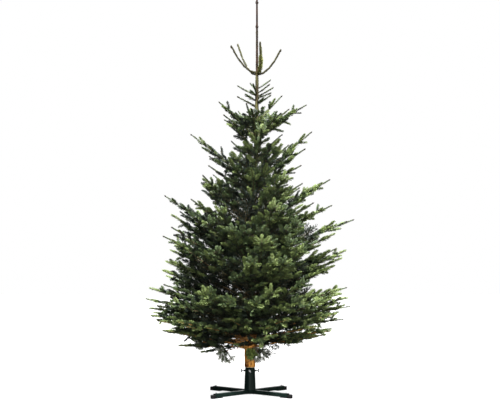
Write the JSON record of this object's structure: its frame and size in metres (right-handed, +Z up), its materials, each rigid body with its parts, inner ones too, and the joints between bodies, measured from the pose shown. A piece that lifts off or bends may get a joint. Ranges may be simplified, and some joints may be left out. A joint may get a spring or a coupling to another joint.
{
  "type": "cut fir christmas tree in a cross-armed metal stand",
  "caption": "Tall cut fir with tiers of upswept boughs and a bare leader, clamped in a painted steel tube stand with level crossed arms on plastic feet.",
  "frame": {"origin": "on the floor, under the middle of the stand's tube", "axes": "+Z up along the trunk, -Y towards the front of the tree, +X to its right seen from the front"},
  "size_m": [1.3553, 1.2433, 2.59],
  "materials": {
    "needles": "waxy flat needles, dark green with lighter young shoots",
    "bark": "dry bark, orange brown at the foot and olive on the stem's upper part",
    "stand_paint": "dark green paint, satin",
    "foot_plastic": "black moulded plastic, slightly worn",
    "screw_zinc": "zinc-plated steel"
  },
  "bodies": {
    "root": {"clamp_screw_1": "screw_zinc", "clamp_screw_2": "screw_zinc", "clamp_screw_3": "screw_zinc", "clamp_screw_4": "screw_zinc", "fifth_foliage_1": "needles", "fifth_foliage_2": "needles", "fifth_foliage_3": "needles", "fifth_foliage_4": "needles", "fifth_foliage_5": "needles", "fourth_foliage_1": "needles", "fourth_foliage_2": "needles", "fourth_foliage_3": "needles", "fourth_foliage_4": "needles", "fourth_foliage_5": "needles", "low_spray": "needles", "lowest_bough_1": "bark", "lowest_bough_2": "bark", "lowest_bough_3": "bark", "lowest_bough_4": "bark", "lowest_foliage_1": "needles", "lowest_foliage_2": "needles", "lowest_foliage_3": "needles", "lowest_foliage_4": "needles", "second_bough_1": "bark", "second_bough_2": "bark", "second_bough_3": "bark", "second_bough_4": "bark", "second_foliage_1": "needles", "second_foliage_2": "needles", "second_foliage_3": "needles", "second_foliage_4": "needles", "seventh_foliage_1": "needles", "seventh_foliage_2": "needles", "seventh_foliage_3": "needles", "seventh_foliage_4": "needles", "seventh_foliage_5": "needles", "sixth_foliage_1": "needles", "sixth_foliage_2": "needles", "sixth_foliage_3": "needles", "sixth_foliage_4": "needles", "sixth_foliage_5": "needles", "stand_arm_1": "stand_paint", "stand_arm_2": "stand_paint", "stand_arm_3": "stand_paint", "stand_arm_4": "stand_paint", "stand_foot_1": "foot_plastic", "stand_foot_2": "foot_plastic", "stand_foot_3": "foot_plastic", "stand_foot_4": "foot_plastic", "stand_tube": "stand_paint", "third_foliage_1": "needles", "third_foliage_2": "needles", "third_foliage_3": "needles", "third_foliage_4": "needles", "top_shoot_1": "needles", "top_shoot_2": "needles", "top_shoot_3": "needles", "top_shoot_4": "needles", "top_shoot_5": "needles", "trunk": "bark"}
  },
  "joints": []
}
